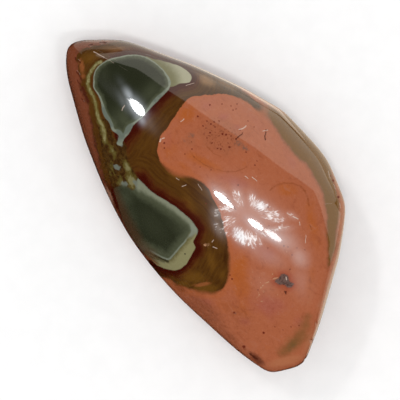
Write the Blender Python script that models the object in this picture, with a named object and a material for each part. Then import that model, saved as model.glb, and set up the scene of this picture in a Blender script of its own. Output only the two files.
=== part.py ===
"""A polished free-form of polychrome jasper, lying on its flat ground underside.

The stone is one solid: a long leaf seen from above, with a blunt nose at -X and a short cut foot at +X.
A long domed crown meets a steep side wall in a soft rim. The wall is widest at the girdle, a third of
the way up, and curves in below it to the flat base. Lengths are in metres, +Z is up, and the origin
lies on the base, in the middle of the girdle's length and width.
"""

import math

import bpy
import numpy as np

# Heights above the surface that the stone lies on
HEIGHT = 0.0360
GIRDLE_HEIGHT = 0.0125
GIRDLE_RISE = 0.0012

# The girdle seen from above, clockwise from the nose, about 120 mm long and 63 mm wide
GIRDLE = (
    (-0.0545, -0.0187),
    (-0.0577, -0.0166),
    (-0.0599, -0.0142),
    (-0.0595, -0.0101),
    (-0.0566, -0.0058),
    (-0.0533, -0.0009),
    (-0.0460, 0.0050),
    (-0.0352, 0.0129),
    (-0.0221, 0.0211),
    (-0.0161, 0.0244),
    (-0.0114, 0.0266),
    (-0.0076, 0.0285),
    (-0.0045, 0.0293),
    (0.0058, 0.0311),
    (0.0145, 0.0315),
    (0.0211, 0.0299),
    (0.0262, 0.0287),
    (0.0314, 0.0252),
    (0.0364, 0.0207),
    (0.0404, 0.0166),
    (0.0432, 0.0129),
    (0.0482, 0.0072),
    (0.0545, -0.0006),
    (0.0580, -0.0056),
    (0.0596, -0.0081),
    (0.0599, -0.0106),
    (0.0586, -0.0147),
    (0.0576, -0.0174),
    (0.0565, -0.0191),
    (0.0541, -0.0204),
    (0.0501, -0.0220),
    (0.0351, -0.0263),
    (0.0218, -0.0295),
    (0.0127, -0.0308),
    (0.0018, -0.0314),
    (-0.0099, -0.0306),
    (-0.0227, -0.0285),
    (-0.0360, -0.0253),
    (-0.0467, -0.0218),
)

# The crown's crest runs the length of the stone in a shallow bend. The crown falls away from it along
# the stone like a hyperbola, and across it by two amounts at half the stone's width: one that grows with
# the square of the distance and one, for its shoulders, with the fourth power.
CREST_X = 0.0200
CREST_Y = 0.0015
CREST_BEND = 2.8
CROWN_TOP_X = 0.0020
CROWN_LENGTH = 0.0600
CROWN_FALL = 0.0410
HALF_WIDTH = 0.0310
ROUND_FALL = 0.0139
SHOULDER_FALL = 0.0041

# The side wall leans in above the girdle, less on the bulging side than on the other, and further in below
# it to the edge of the base
RIM_ABOVE = 0.0100
RIM_INSET = 0.0021
RIM_TURN = 0.0012
RIM_CURVE = 2.0
BASE_INSET = 0.0085
BASE_CURVE = 2.2

# The outlines are worked out in this many directions, and their corners rounded over these angles
DIRECTIONS = 1440
GIRDLE_ROUNDING = math.radians(1.0)
RIM_ROUNDING = math.radians(2.5)
BASE_ROUNDING = math.radians(5.0)

# Widths over which the faces run into each other: soft at the nose, crisper towards the foot
RIM_SOFT = 0.0045
RIM_CRISP = 0.0018
RIM_TURNS_AT = 0.0120
RIM_TURNS_OVER = 0.0200
BASE_EDGE = 0.0020

# The nose's upper edge is ground off by one slanting face
NOSE_FACE_POINT = (-0.0560, -0.0070, 0.0165)
NOSE_FACE_NORMAL = (-0.72, 0.38, 0.58)
NOSE_FACE_EDGE = 0.0030

# One long face is ground along the side wall's top, on the way to the foot
FOOT_FACE_POINT = (0.0400, -0.0230, 0.0198)
FOOT_FACE_NORMAL = (0.18, -0.91, 0.37)
FOOT_FACE_EDGE = 0.0018

# The rays that find the skin spread from here, in a space squeezed to the stone's proportions
HEART = (0.0, -0.0105, 0.0130)
PROPORTIONS = (0.060, 0.032, 0.018)
RINGS = 60
SPOKES = 72

JASPER_COLOUR = (0.42, 0.17, 0.09, 1.0)
JASPER_ROUGHNESS = 0.18


def clear_scene():
    """Remove every object, so that only the stone is left."""
    for thing in list(bpy.data.objects):
        bpy.data.objects.remove(thing, do_unlink=True)


def closed_spline(points, samples):
    """Even samples of the closed cubic spline through the points, with chord length as its parameter."""
    knots = np.array(points, float)
    following = np.roll(knots, -1, axis=0)
    chord = np.linalg.norm(following - knots, axis=1)
    before = np.roll(chord, 1)
    size = len(knots)
    row = np.arange(size)
    system = np.zeros((size, size))
    system[row, row] = 2.0 * (before + chord)
    system[row, (row - 1) % size] = before
    system[row, (row + 1) % size] = chord
    step = (following - knots) / chord[:, None]
    bend = np.linalg.solve(system, 6.0 * (step - np.roll(step, 1, axis=0)))
    ends = np.concatenate([[0.0], np.cumsum(chord)])
    place = np.linspace(0.0, ends[-1], samples, endpoint=False)
    span = np.clip(np.searchsorted(ends, place, side="right") - 1, 0, size - 1)
    width = chord[span][:, None]
    past = (place - ends[span])[:, None]
    left = width - past
    here, there = bend[span], bend[(span + 1) % size]
    curve = (here * left**3 + there * past**3) / (6.0 * width)
    curve += (knots[span] / width - here * width / 6.0) * left
    return curve + (following[span] / width - there * width / 6.0) * past


def drawn_in(curve, depth, rounding):
    """Radius at even angles of the outline drawn in by a depth, or by one depth for each way it faces: the
    nearest of all the lines that touch the outline, each moved in by its depth, with the corners rounded by
    an average over the rounding angle."""
    angle = math.tau * np.arange(DIRECTIONS) / DIRECTIONS
    touching = np.stack([np.cos(angle), np.sin(angle)])
    support = (curve @ touching).max(axis=0)
    facing = touching.T @ touching
    reach = np.where(facing > 0.05, (support - depth)[:, None] / np.maximum(facing, 0.05), 1.0).min(axis=0)
    wave = np.arange(DIRECTIONS // 2 + 1)
    return np.fft.irfft(np.fft.rfft(reach) * np.exp(-((wave * rounding) ** 2) / 2.0), DIRECTIONS)


def outline_tables():
    """Radius of the girdle, of the rim above it and of the base below it, and how squarely a ray meets the
    girdle, all at even angles round the origin."""
    curve = closed_spline(GIRDLE, 4 * DIRECTIONS)
    curve -= (curve.max(axis=0) + curve.min(axis=0)) / 2.0
    facing = math.tau * np.arange(DIRECTIONS) / DIRECTIONS
    girdle = drawn_in(curve, 0.0, GIRDLE_ROUNDING)
    rim = drawn_in(curve, RIM_INSET - RIM_TURN * np.sin(facing), RIM_ROUNDING)
    base = drawn_in(curve, BASE_INSET, BASE_ROUNDING)
    turn = (np.roll(girdle, -1) - np.roll(girdle, 1)) * DIRECTIONS / (2.0 * math.tau) / girdle
    return girdle, rim, base, 1.0 / np.sqrt(1.0 + turn * turn)


def look_up(table, angle):
    """Values of a table of even angles at any angles."""
    even = math.tau * np.arange(DIRECTIONS) / DIRECTIONS
    return np.interp(angle, even, table, period=math.tau)


def soft_max(first, second, width):
    """The larger of two fields, rounded where they are within the width of each other."""
    near = np.maximum(width - np.abs(first - second), 0.0) / width
    return np.maximum(first, second) + near * near * width / 4.0


def smooth_step(value):
    """Zero below 0, one above 1, and a smooth S between."""
    part = np.clip(value, 0.0, 1.0)
    return part * part * (3.0 - 2.0 * part)


def wall_field(x, y, z, tables):
    """Distance outside the side wall, whose outline goes from the base's to the girdle's, and from there
    towards the rim's, as the height grows."""
    angle = np.arctan2(y, x)
    girdle, rim, base, square = (look_up(table, angle) for table in tables)
    middle = GIRDLE_HEIGHT + GIRDLE_RISE * np.sin(angle)
    above = np.maximum(z - middle, 0.0) / RIM_ABOVE
    below = np.maximum(middle - z, 0.0) / middle
    reach = girdle + (rim - girdle) * above**RIM_CURVE + (base - girdle) * below**BASE_CURVE
    lean = (girdle - rim) * square / RIM_ABOVE * RIM_CURVE * above ** (RIM_CURVE - 1.0)
    lean += BASE_INSET / GIRDLE_HEIGHT * BASE_CURVE * below ** (BASE_CURVE - 1.0)
    return (np.hypot(x, y) - reach) * square / np.sqrt(1.0 + lean * lean)


def crown_field(x, y, z):
    """Distance outside the crown."""
    along = (x - CROWN_TOP_X) / CROWN_LENGTH
    across = (y - CREST_Y + CREST_BEND * (x - CREST_X) ** 2) / HALF_WIDTH
    arch = np.sqrt(1.0 + along * along)
    top = HEIGHT - CROWN_FALL * (arch - 1.0) - ROUND_FALL * across**2 - SHOULDER_FALL * across**4
    slope_along = CROWN_FALL / CROWN_LENGTH * along / arch
    slope_across = (2.0 * ROUND_FALL * across + 4.0 * SHOULDER_FALL * across**3) / HALF_WIDTH
    return (z - top) / np.sqrt(1.0 + slope_along**2 + slope_across**2)


def face_field(x, y, z, point, normal):
    """Distance outside a flat ground face through a point."""
    square = np.array(normal) / np.linalg.norm(normal)
    return (np.stack([x, y, z], axis=-1) - point) @ square


def stone_field(x, y, z, tables):
    """Below zero inside the stone, zero on its skin and above zero outside."""
    crisp = smooth_step((x - RIM_TURNS_AT) / RIM_TURNS_OVER)
    rim = RIM_SOFT + (RIM_CRISP - RIM_SOFT) * crisp
    body = soft_max(wall_field(x, y, z, tables), crown_field(x, y, z), rim)
    body = soft_max(body, face_field(x, y, z, NOSE_FACE_POINT, NOSE_FACE_NORMAL), NOSE_FACE_EDGE)
    body = soft_max(body, face_field(x, y, z, FOOT_FACE_POINT, FOOT_FACE_NORMAL), FOOT_FACE_EDGE)
    return soft_max(body, -z, BASE_EDGE)


def ray_directions():
    """Directions on rings round the stone's length: the nose's pole, the rings, then the foot's pole."""
    along = math.pi * np.arange(1, RINGS) / RINGS
    round_it = math.tau * np.arange(SPOKES) / SPOKES
    ring, spoke = np.meshgrid(along, round_it, indexing="ij")
    rays = np.stack(
        [-np.cos(ring), np.sin(ring) * np.cos(spoke), np.sin(ring) * np.sin(spoke)], axis=-1
    ).reshape(-1, 3)
    return np.concatenate([[(-1.0, 0.0, 0.0)], rays, [(1.0, 0.0, 0.0)]]) * PROPORTIONS


def skin_points():
    """Where each ray from the heart leaves the stone, found by halving."""
    tables = outline_tables()
    rays = ray_directions()
    near = np.zeros(len(rays))
    far = np.full(len(rays), 2.0)
    for _ in range(40):
        middle = (near + far) / 2.0
        point = np.array(HEART) + rays * middle[:, None]
        outside = stone_field(*point.T, tables) > 0.0
        far = np.where(outside, middle, far)
        near = np.where(outside, near, middle)
    point = np.array(HEART) + rays * near[:, None]
    point[np.abs(point[:, 2]) < 1e-6, 2] = 0.0
    return point


def skin_faces():
    """Fans at the two poles and bands of four-cornered faces between them, all facing outwards."""
    last = 1 + (RINGS - 1) * SPOKES
    spoke = np.arange(SPOKES)
    after = (spoke + 1) % SPOKES
    faces = [(0, 1 + b, 1 + a) for a, b in zip(spoke, after)]
    for ring in range(RINGS - 2):
        start = 1 + ring * SPOKES
        faces += [
            (start + a, start + b, start + SPOKES + b, start + SPOKES + a)
            for a, b in zip(spoke, after)
        ]
    start = last - SPOKES
    faces += [(last, start + a, start + b) for a, b in zip(spoke, after)]
    return [tuple(int(corner) for corner in face) for face in faces]


def polished_jasper():
    """The stone's own material."""
    material = bpy.data.materials.new("polished jasper")
    material.use_nodes = True
    shader = material.node_tree.nodes["Principled BSDF"]
    shader.inputs["Base Color"].default_value = JASPER_COLOUR
    shader.inputs["Roughness"].default_value = JASPER_ROUGHNESS
    shader.inputs["Metallic"].default_value = 0.0
    return material


def make_stone():
    """The whole stone as one closed mesh."""
    mesh = bpy.data.meshes.new("jasper")
    mesh.from_pydata([tuple(point) for point in skin_points()], [], skin_faces())
    mesh.validate()
    mesh.shade_smooth()
    stone = bpy.data.objects.new("jasper", mesh)
    bpy.context.scene.collection.objects.link(stone)
    mesh.materials.append(polished_jasper())
    return stone


clear_scene()
make_stone()
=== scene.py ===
"""The finish of a polished free-form of polychrome jasper: its skin, its markings and the light on it.

The stone is worked out again here from the same formulas as its solid, on a finer grid, with the wavy
polish and the chips of a hand-finished stone. Its markings are in the photograph's own pixels. They were
placed on enlargements of it, then moved and tinted with the help of programs that set renders
against its pixels. Lengths are in metres unless a name says otherwise.
"""

import math

import bpy
import numpy as np
from mathutils import Matrix, Vector


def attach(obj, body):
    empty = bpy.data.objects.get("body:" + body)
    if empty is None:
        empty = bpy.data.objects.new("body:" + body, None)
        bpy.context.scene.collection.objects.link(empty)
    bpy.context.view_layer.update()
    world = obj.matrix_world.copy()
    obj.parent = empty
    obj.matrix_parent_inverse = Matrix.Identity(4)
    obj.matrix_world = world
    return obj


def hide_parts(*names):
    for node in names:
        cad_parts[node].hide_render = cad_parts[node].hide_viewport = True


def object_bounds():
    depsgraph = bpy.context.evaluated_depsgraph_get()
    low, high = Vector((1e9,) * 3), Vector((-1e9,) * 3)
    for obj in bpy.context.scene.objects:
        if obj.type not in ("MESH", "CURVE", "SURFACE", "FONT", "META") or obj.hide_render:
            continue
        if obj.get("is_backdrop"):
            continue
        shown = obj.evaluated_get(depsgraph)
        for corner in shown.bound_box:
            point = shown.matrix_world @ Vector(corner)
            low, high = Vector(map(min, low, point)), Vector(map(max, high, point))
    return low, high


# Millimetres in a metre
MM = 1000.0

# Heights above the surface that the stone lies on
HEIGHT = 0.0360
GIRDLE_HEIGHT = 0.0125
GIRDLE_RISE = 0.0012

# The girdle seen from above, clockwise from the nose: places chosen one by one, which a program moved on
# to the stone's edge in the photograph, and six of which were then moved again
GIRDLE = (
    (-0.0545, -0.0187), (-0.0577, -0.0166), (-0.0599, -0.0142), (-0.0595, -0.0101), (-0.0566, -0.0058),
    (-0.0533, -0.0009), (-0.0460, 0.0050), (-0.0352, 0.0129), (-0.0221, 0.0211), (-0.0161, 0.0244),
    (-0.0114, 0.0266), (-0.0076, 0.0285), (-0.0045, 0.0293), (0.0058, 0.0311), (0.0145, 0.0315),
    (0.0211, 0.0299), (0.0262, 0.0287), (0.0314, 0.0252), (0.0364, 0.0207), (0.0404, 0.0166), (0.0432, 0.0129),
    (0.0482, 0.0072), (0.0545, -0.0006), (0.0580, -0.0056), (0.0596, -0.0081), (0.0599, -0.0106),
    (0.0586, -0.0147), (0.0576, -0.0174), (0.0565, -0.0191), (0.0541, -0.0204), (0.0501, -0.0220),
    (0.0351, -0.0263), (0.0218, -0.0295), (0.0127, -0.0308), (0.0018, -0.0314), (-0.0099, -0.0306),
    (-0.0227, -0.0285), (-0.0360, -0.0253), (-0.0467, -0.0218),
)

# The crown: its crest, and how far it falls along and across the stone
CREST_X = 0.0200
CREST_Y = 0.0015
CREST_BEND = 2.8
CROWN_TOP_X = 0.0020
CROWN_LENGTH = 0.0600
CROWN_FALL = 0.0410
HALF_WIDTH = 0.0310
ROUND_FALL = 0.0139
SHOULDER_FALL = 0.0041

# The side wall above and below the girdle
RIM_ABOVE = 0.0100
RIM_INSET = 0.0021
RIM_TURN = 0.0012
RIM_CURVE = 2.0
BASE_INSET = 0.0085
BASE_CURVE = 2.2
DIRECTIONS = 1440
GIRDLE_ROUNDING = math.radians(1.0)
RIM_ROUNDING = math.radians(2.5)
BASE_ROUNDING = math.radians(5.0)

# A line that touches the outline bounds it only in the ways that it faces more squarely than this cosine
GRAZING = 0.05

# Widths over which the faces run into each other
RIM_SOFT = 0.0045
RIM_CRISP = 0.0018
RIM_TURNS_AT = 0.0120
RIM_TURNS_OVER = 0.0200
BASE_EDGE = 0.0020

# The two flat ground faces
NOSE_FACE_POINT = (-0.0560, -0.0070, 0.0165)
NOSE_FACE_NORMAL = (-0.72, 0.38, 0.58)
NOSE_FACE_EDGE = 0.0030
FOOT_FACE_POINT = (0.0400, -0.0230, 0.0198)
FOOT_FACE_NORMAL = (0.18, -0.91, 0.37)
FOOT_FACE_EDGE = 0.0018

# How far the skin is drawn in towards the origin, so that it stays within the solid
DRAWN_IN = 0.999

# The rays that find the skin, packed closer together over the crown than under the base, how far they go in
# proportions, how often the stretch that holds the skin is halved, and the height that counts as none
HEART = (0.0, -0.0105, 0.0130)
PROPORTIONS = (0.060, 0.032, 0.018)
RINGS = 300
SPOKES = 320
CROWN_SHARE = 0.35
RAYS_END = 2.0
HALVINGS = 34
NO_HEIGHT = 1e-6

# The photograph: the size of a pixel at the girdle, the pixel straight below the lens, the way the stone's
# length runs across it, where that pixel lies in the stone's frame, and the lens and its sensor's width
PIXEL = 0.000304
PHOTO_MIDDLE = (200.0, 200.0)
LENGTH_WAY = (0.5593, -0.8290)
LENS_X = 0.0014
LENS_Y = -0.0074
LENS_ABOVE_GIRDLE = 0.55
SENSOR = 0.036
ROUNDS_TO_CROWN = 6

# Outlines of the markings in the photograph's pixels, each one closed
OUTLINES = {
    "upper_green": (
        (100.8, 64.2), (105, 61), (112, 58.3), (124.5, 55.3), (134.3, 54.5), (142.4, 55.4), (149.5, 58.6),
        (156.6, 63.5), (162.9, 69.3), (167.8, 75.1), (170.8, 82.2), (169.5, 87.8), (161.4, 97.2),
        (152.4, 106.2), (146, 113.6), (139.6, 119.8), (133.4, 125.1), (129.9, 132.2), (125.2, 137.6),
        (123, 141), (121, 145.6), (116.5, 143.4), (119, 138.5), (117.4, 134), (112, 130.4), (109.3, 123.3),
        (105.8, 118.8), (102.2, 111.7), (100.4, 101), (97.7, 94.7), (93.3, 87.6), (93.3, 80.4), (94.1, 73.3),
        (97.7, 67),
    ),
    "cream_wedge": (
        (146, 55.8), (151.3, 58.1), (158.4, 59.4), (169, 62.6), (180, 66), (187, 70.6), (191.5, 77),
        (190.6, 81.3), (184.3, 83.1), (177.2, 84.4), (172.7, 86.7), (167, 86), (163, 80), (160, 72), (153, 65),
    ),
    "lower_pale": (
        (137.5, 178.5), (141.8, 182.1), (149.4, 189.8), (159, 196.5), (168.6, 202.2), (178.1, 208.9),
        (185.8, 215.6), (191.5, 220.4), (194.9, 225.2), (197.7, 229.5), (195.8, 236.7), (193.4, 243.3),
        (195.3, 246.2), (192.5, 252.9), (188.7, 260.6), (182.9, 267.3), (176.2, 270.3), (168.6, 269.7),
        (160.9, 267.3), (154.2, 263.4), (147, 256.7), (140.5, 250), (135, 243.3), (129, 233.8), (122.8, 221.3),
        (118, 207), (114.4, 195), (113.5, 188.5), (118, 186.5), (123, 185), (128, 187.5), (133, 190),
        (136, 186),
    ),
    "lower_green": (
        (112, 181), (125, 180), (133, 184), (139, 189), (145, 193.5), (152.5, 196.5), (162, 202.5),
        (172, 209.5), (181.5, 216.6), (189, 223), (192, 229.5), (190, 235), (185.2, 241), (179.1, 248.1),
        (173.4, 254.8), (168.5, 259.3), (160.9, 256.5), (153.2, 252.6), (145.6, 249), (136, 245), (124, 233.8),
        (116, 221.3), (108, 207), (104, 194), (105, 186),
    ),
    "lower_cream": (
        (191, 231), (198, 236), (199, 250), (191, 265), (178, 274), (160, 271), (144, 258), (145, 250.5),
        (153, 254), (161, 257.6), (168.5, 260.5), (174, 255), (180, 248), (185.5, 240.5),
    ),
    "olive_zone": (
        (55, 20), (130, 15), (200, 45), (225, 66), (236, 83), (246, 91.5), (256, 100), (263, 107), (261, 111),
        (255, 108.5), (246, 101), (240, 98), (234, 96), (226, 94), (211, 95), (196, 96), (187, 100), (178, 111),
        (172, 120), (164, 132), (159, 140), (158, 146), (157.5, 154), (161, 162), (168.5, 169.5), (175, 174.5),
        (184, 176), (195, 178.3), (203, 183), (207, 187), (212, 196), (219, 210), (224.6, 229.5), (228, 245),
        (229.5, 260), (229, 274), (226, 284), (221, 290), (213, 293.5), (204, 293), (196, 291), (187, 288.5),
        (178, 286), (169, 281), (156, 275), (142, 266), (130, 250), (116, 222), (104, 190), (90, 150),
        (75, 110), (55, 60),
    ),
    # The brick-coloured strip along the left edge, darker partly as painted shade of the side that turns from
    # the light
    "brick_and_shaded_side": (
        (50, 40), (60, 30), (100, 28), (126, 35), (112, 41), (99.5, 43.8), (91.5, 45.6), (85, 47.5), (79, 50.5),
        (75.5, 56), (77, 61), (79, 71.5), (80, 78.6), (82.5, 89.4), (86, 98), (88, 105), (89.7, 114),
        (92.4, 123), (94, 137), (97, 150), (100, 163), (104, 178), (110, 193), (116, 207), (123, 222),
        (132, 238), (140, 250), (149, 260), (140, 268), (118, 236), (92, 184), (66, 124), (50, 74),
    ),
    "right_olive": (
        (262, 106), (270, 106), (281, 111), (293.5, 119), (304, 128.5), (315, 139), (325.5, 150.5),
        (330.5, 162), (332, 173.5), (334.5, 184.5), (337.3, 194), (339.5, 207), (339, 217), (337, 231),
        (336, 243), (332.5, 258), (328, 268), (328.5, 256), (327.5, 244), (326.3, 231), (327, 218), (325, 205),
        (322.4, 193), (319, 185), (313.7, 175.5), (307.4, 166), (298, 157), (290, 148.5), (282, 138),
        (275, 127), (268, 117),
    ),
    "low_streak": (
        (308, 316), (309.5, 325), (306, 336), (301, 344), (295.5, 349), (289, 352.5), (281, 354), (280, 350.5),
        (285, 345.5), (290, 339.5), (297, 331.5), (303, 323),
    ),
    "inclusion": (
        (275, 280), (278, 278), (281, 274.8), (284, 274.6), (288.4, 277.4), (290.4, 281.6), (293.4, 284.6),
        (291.6, 286.8), (288, 287.6), (283, 284.8), (279.5, 284.8), (277, 282.4),
    ),
    "mottled": (
        (100, 120), (106, 118), (111, 129), (117, 139), (125, 143), (127, 155), (131, 166), (137, 175),
        (139, 181), (137, 190), (128, 191), (116, 191), (108, 178), (103, 160), (99, 140),
    ),
}

# The middle of the cream line that curves round the upper island
CRESCENT = (
    (100.5, 61.8), (96.6, 64.2), (91.5, 70), (88.3, 77), (88, 84), (89.5, 90.5), (93.3, 96.5), (95.5, 103.6),
    (96.8, 112.6), (98.6, 119), (102, 125), (104.5, 132), (104, 140),
)

# Soft patches, each one a middle in the photograph's pixels, its half length and half width, the turn of its
# length from the picture's right towards its foot in degrees, and its strength. Its cover is the strength
# * exp(-PATCH_FALL * reach ^ 2), where the reach is one at its half length and half width.
PATCH_FALL = 1.2
PATCHES = {
    "saturated": (
        (187, 114, 14, 9, -40, 1), (205, 163, 24, 6, 25, 0.9), (245, 163, 14, 5, -40, 0.7),
        (176, 128, 12, 6, -60, 0.4), (172, 147, 11, 15, 0, 0.5), (288, 190, 14, 9, 10, 0.8),
        (312, 225, 30, 8, 80, 0.8), (240, 280, 30, 12, 84, 1.1), (312, 275, 28, 6, 100, 0.5),
        (222, 305, 22, 8, 20, 0.5), (270, 345, 16, 8, 10, 0.3), (168, 152, 12, 5, 70, 0.6),
        (185, 168, 18, 5, 35, 0.6),
    ),
    "umber": (
        (225, 257, 13, 2.2, 88, 1), (209, 205, 14, 5, 60, 0.5), (180, 194, 10, 4, 35, 0.5),
        (150, 148, 12, 5, 100, 0.4), (118, 150, 10, 5, 80, 0.5), (176, 92, 13, 5, -40, 0.9),
        (155, 118, 12, 6, -60, 0.4),
    ),
    "tan": (
        (206, 80, 13, 6, 25, 1), (226, 84, 16, 4, 28, 0.6), (180, 62, 14, 3, 20, 0.4),
        (118, 49, 18, 4.5, 3, 0.75),
    ),
    "soft": (
        (229, 268, 24, 7, 86, 1), (190, 288, 20, 5, 8, 0.7), (206, 293, 20, 6, 3, 1.4),
        (178, 287, 16, 6, 32, 1.4), (242, 92, 20, 6, 40, 0.9), (176, 173, 19, 6, 22, 1.7),
        (200, 179, 10, 5, 20, 0.5), (262, 108, 10, 8, 45, 1.3), (170, 280, 12, 6, 40, 0.7),
        (124, 183, 13, 7, 20, 1),
    ),
    "vein": (
        (103, 131, 12, 3.4, 78, 1.1), (104, 141, 5, 3.5, 60, 0.8), (112, 150, 8, 4, 62, 0.75),
        (114, 157, 5, 3, 70, 0.6), (127, 167, 11, 4, 62, 1), (131.5, 181, 10, 6, 70, 1.2),
        (112, 168, 12, 3, 78, 0.6), (121, 183, 6, 4, 20, 0.9), (97, 118, 8, 2, 80, 0.7),
        (110, 173, 8, 2, 75, 0.5), (120, 178, 5, 4, 80, 0.6),
    ),
    "grey_green": (
        (116.5, 167, 5.5, 3, 25, 1.2), (120, 142, 6, 2.6, 70, 1.2), (124, 184, 6, 4, 0, 1),
        (137, 184, 9, 5, 45, 0.8),
    ),
    "chafed": (
        (206, 245, 9, 3.4, 0, 1), (213, 242, 3, 2, -60, 0.8), (275.5, 278.6, 4, 1.6, -20, 1.4),
        (268, 281.8, 6, 1.4, -30, 1.25), (262, 286.5, 5, 1.4, -50, 1.2), (264, 291, 5, 2, -60, 1),
        (258, 296, 5, 2, -50, 1), (272, 274, 5, 1.6, 10, 0.95), (262, 301, 4, 1.6, -40, 0.9),
        (241, 128, 6, 3, -30, 0.7),
    ),
    "pink": (
        (168, 142, 10, 6, 80, 0.4), (224, 117, 7, 5, 0, 0.9), (237, 128, 6, 5, 0, 0.9),
        (235, 182, 20, 8, 20, 0.7), (255, 120, 16, 8, 50, 0.5), (268, 306, 30, 13, 8, 0.7),
        (245, 322, 8, 6, 0, 0.8), (206, 105, 12, 6, -10, 0.4), (265, 250, 24, 10, 40, 0.6),
        (290, 160, 20, 6, 50, 0.5), (300, 320, 8, 10, 0, 0.5), (205, 300, 14, 7, 40, 0.5),
    ),
    "nodule": (
        (221, 136, 27, 20, 20, 1), (191, 140, 8, 12, 0, 0.7),
    ),
    "grey": (
        (191, 135, 5, 4, 0, 0.9), (238, 143, 6, 3.5, 20, 1.1), (245, 148, 6, 3.5, 30, 1.1),
        (228, 150, 8, 4, 0, 0.5), (184, 140, 4, 4, 0, 0.6), (270, 288, 6, 3, 60, 0.4), (205, 146, 6, 3, 0, 0.4),
        (234, 313, 5, 3, 0, 0.6), (292, 345, 8, 5, -50, 1),
    ),
    # Lighter ochre olive, partly real tone and partly a painted reflection of a pale veil along the lower left
    "ochre_and_veil": (
        (178, 177, 17, 5, 18, 0.9), (90, 57, 12, 8, -20, 1), (84, 72, 9, 4, 100, 0.6),
        (190, 205, 20, 7, 55, 0.8), (212, 262, 18, 8, 80, 0.9), (222, 275, 8, 6, 80, 0.8),
        (192, 277, 18, 7, 10, 1.2), (196, 262, 9, 6, 80, 0.6), (206, 288, 18, 6, 0, 1.1),
        (184, 284, 12, 5, 20, 1),
    ),
    # Partly scuffed polish, partly painted highlight: a pale haze of the lamps' light round the glints
    "haze_and_glare": (
        (264, 284, 18, 12, 40, 0.2), (299, 257, 13, 9, 60, 1.15), (150, 125, 12, 5, 50, 0.2),
        (284, 240, 20, 12, 40, 1.2), (250, 214, 40, 22, 40, 0.85), (214, 213, 9, 7, 70, 0.25),
        (219, 226, 10, 6, 70, 0.25), (268, 256, 22, 10, 25, 0.55), (301, 281, 18, 11, 80, 0.38),
    ),
    # Painted highlight: pale halos round the lamps' glints
    "glint_halo": (
        (136, 107, 13, 6.5, 54, 0.8), (129, 95, 9, 4, 58, 0.6), (138, 115, 6, 5, 50, 0.45),
        (122, 84, 9, 4, 58, 0.06), (124, 103, 12, 4, 62, 0.14), (142, 120, 6, 4, 70, 0.5),
        (223, 198, 14, 4.5, 44, 0.5), (256, 225.5, 12, 5, 36, 0.6), (273, 236, 11, 5, 34, 0.7),
        (240, 236, 9, 5, 50, 0.7), (219, 213, 4, 3, 60, 0.12), (260, 206, 5, 4, 30, 0.5),
    ),
    # Real scuffs in the polish, painted white round the glints as flare streaks of the lamps' light
    "scuff_and_flare": (
        (238, 197, 12, 6, 72, 0.7), (253, 201, 9, 5, 76, 0.85), (227, 209, 9, 3, 10, 1),
        (261, 206, 8, 5.5, 20, 1.25), (272, 215, 15, 7, 18, 0.85), (280, 228.5, 14, 3, -5, 0.7),
        (241, 236, 11, 7, 50, 1.2), (258, 240, 8, 4, 65, 0.75), (250, 239, 11, 6, 60, 1),
        (229, 221, 10, 8, 30, 0.7), (217, 214, 9, 5, 60, 0.5), (218, 228, 12, 5, 60, 0.45),
        (226, 231, 7, 5, 60, 0.6), (292, 216, 7, 3.5, 30, 0.6), (262, 233, 12, 6, 30, 0.5),
        (268, 207, 9, 5, 20, 0.4), (222, 196, 20, 9, 45, 0.35),
    ),
    "wide_rim": (
        (157, 98, 15, 6, -45, 0.6), (168, 80, 4, 9, 0, 0.3), (126, 128, 9, 6, -70, 1.1),
        (162, 90, 7, 6, -45, 0.55), (115, 124, 10, 5, 65, 0.5), (106, 117, 17, 5, 65, 1),
        (120, 134, 9, 6, 90, 1), (131, 127, 8, 3, -50, 0.5),
    ),
    "pale_green": (
        (124, 120, 14, 8, 60, 1.3), (151, 92, 15, 9, -45, 0.9), (124, 198, 12, 10, 60, 1),
        (132, 216, 24, 7, 65, 0.6), (118, 121, 14, 9, 70, 0.9), (158, 90, 9, 6, -50, 0.5),
        (180, 228, 12, 9, 60, 0.7), (165, 244, 14, 8, 60, 0.3), (104, 72, 6, 12, 0, 0.3),
        (160, 208, 26, 7, 36, 0.6), (152, 226, 30, 14, 50, 0.4), (172, 222, 22, 10, 50, 0.4),
    ),
    "pale_corner": ((191.5, 230.5, 6, 9, 30, 1.2),),
    # Darker patches, most of them along the lower-left edge and at the foot's lower-left corner
    "darker_patches": (
        (257, 359, 13, 5, 42, 1), (244, 348, 6, 2.5, 42, 0.6), (230, 336, 20, 5, 42, 0.5),
        (238, 314, 44, 20, 42, 0.42), (206, 308, 48, 15, 43, 0.54), (181, 288, 13, 6, 42, 0.75),
        (286, 290, 12, 6, 60, 0.4),
    ),
    "rusty": (
        (81.5, 66, 12, 4.5, 80, 0.75), (83, 76, 5, 4, 90, 0.7), (87, 108, 9, 3, 75, 0.6),
        (202, 284.5, 12, 2.6, -10, 1), (184, 289, 10, 3, 20, 0.9), (170, 281, 8, 3, 40, 0.8),
    ),
    "rough": (
        (84, 94, 13, 6, 65, 1), (92, 122, 16, 5, 75, 0.8), (98, 150, 24, 5, 72, 0.9),
        (110, 190, 30, 6, 65, 0.8),
    ),
    # Pale edges, partly painted light: rims and the foot's corner made paler where they are lit and mirror the
    # sheens
    "fair_and_lit_edges": (
        (92, 42.5, 16, 3, 0, 0.25), (68, 52, 8, 2, 110, 0.3), (309, 342, 16, 4, -70, 0.9),
        (320, 305, 14, 3, -72, 0.6), (286, 361, 20, 5, -14, 1.25), (108, 195, 10, 3, 65, 1.3),
        (341, 212, 4, 24, 2, 0.7), (310, 300, 20, 4, -74, 0.4), (201, 172, 14, 3, 10, 0.3),
    ),
    "speckled": (
        (266, 286, 14, 16, 60, 1.2), (290, 294, 16, 14, 0, 0.9), (232, 118, 22, 8, 30, 0.5),
        (252, 176, 12, 8, 20, 0.6), (292, 250, 16, 8, 20, 0.6), (250, 262, 30, 16, 30, 0.45),
        (270, 310, 30, 12, 0, 0.4),
    ),
}

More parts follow.
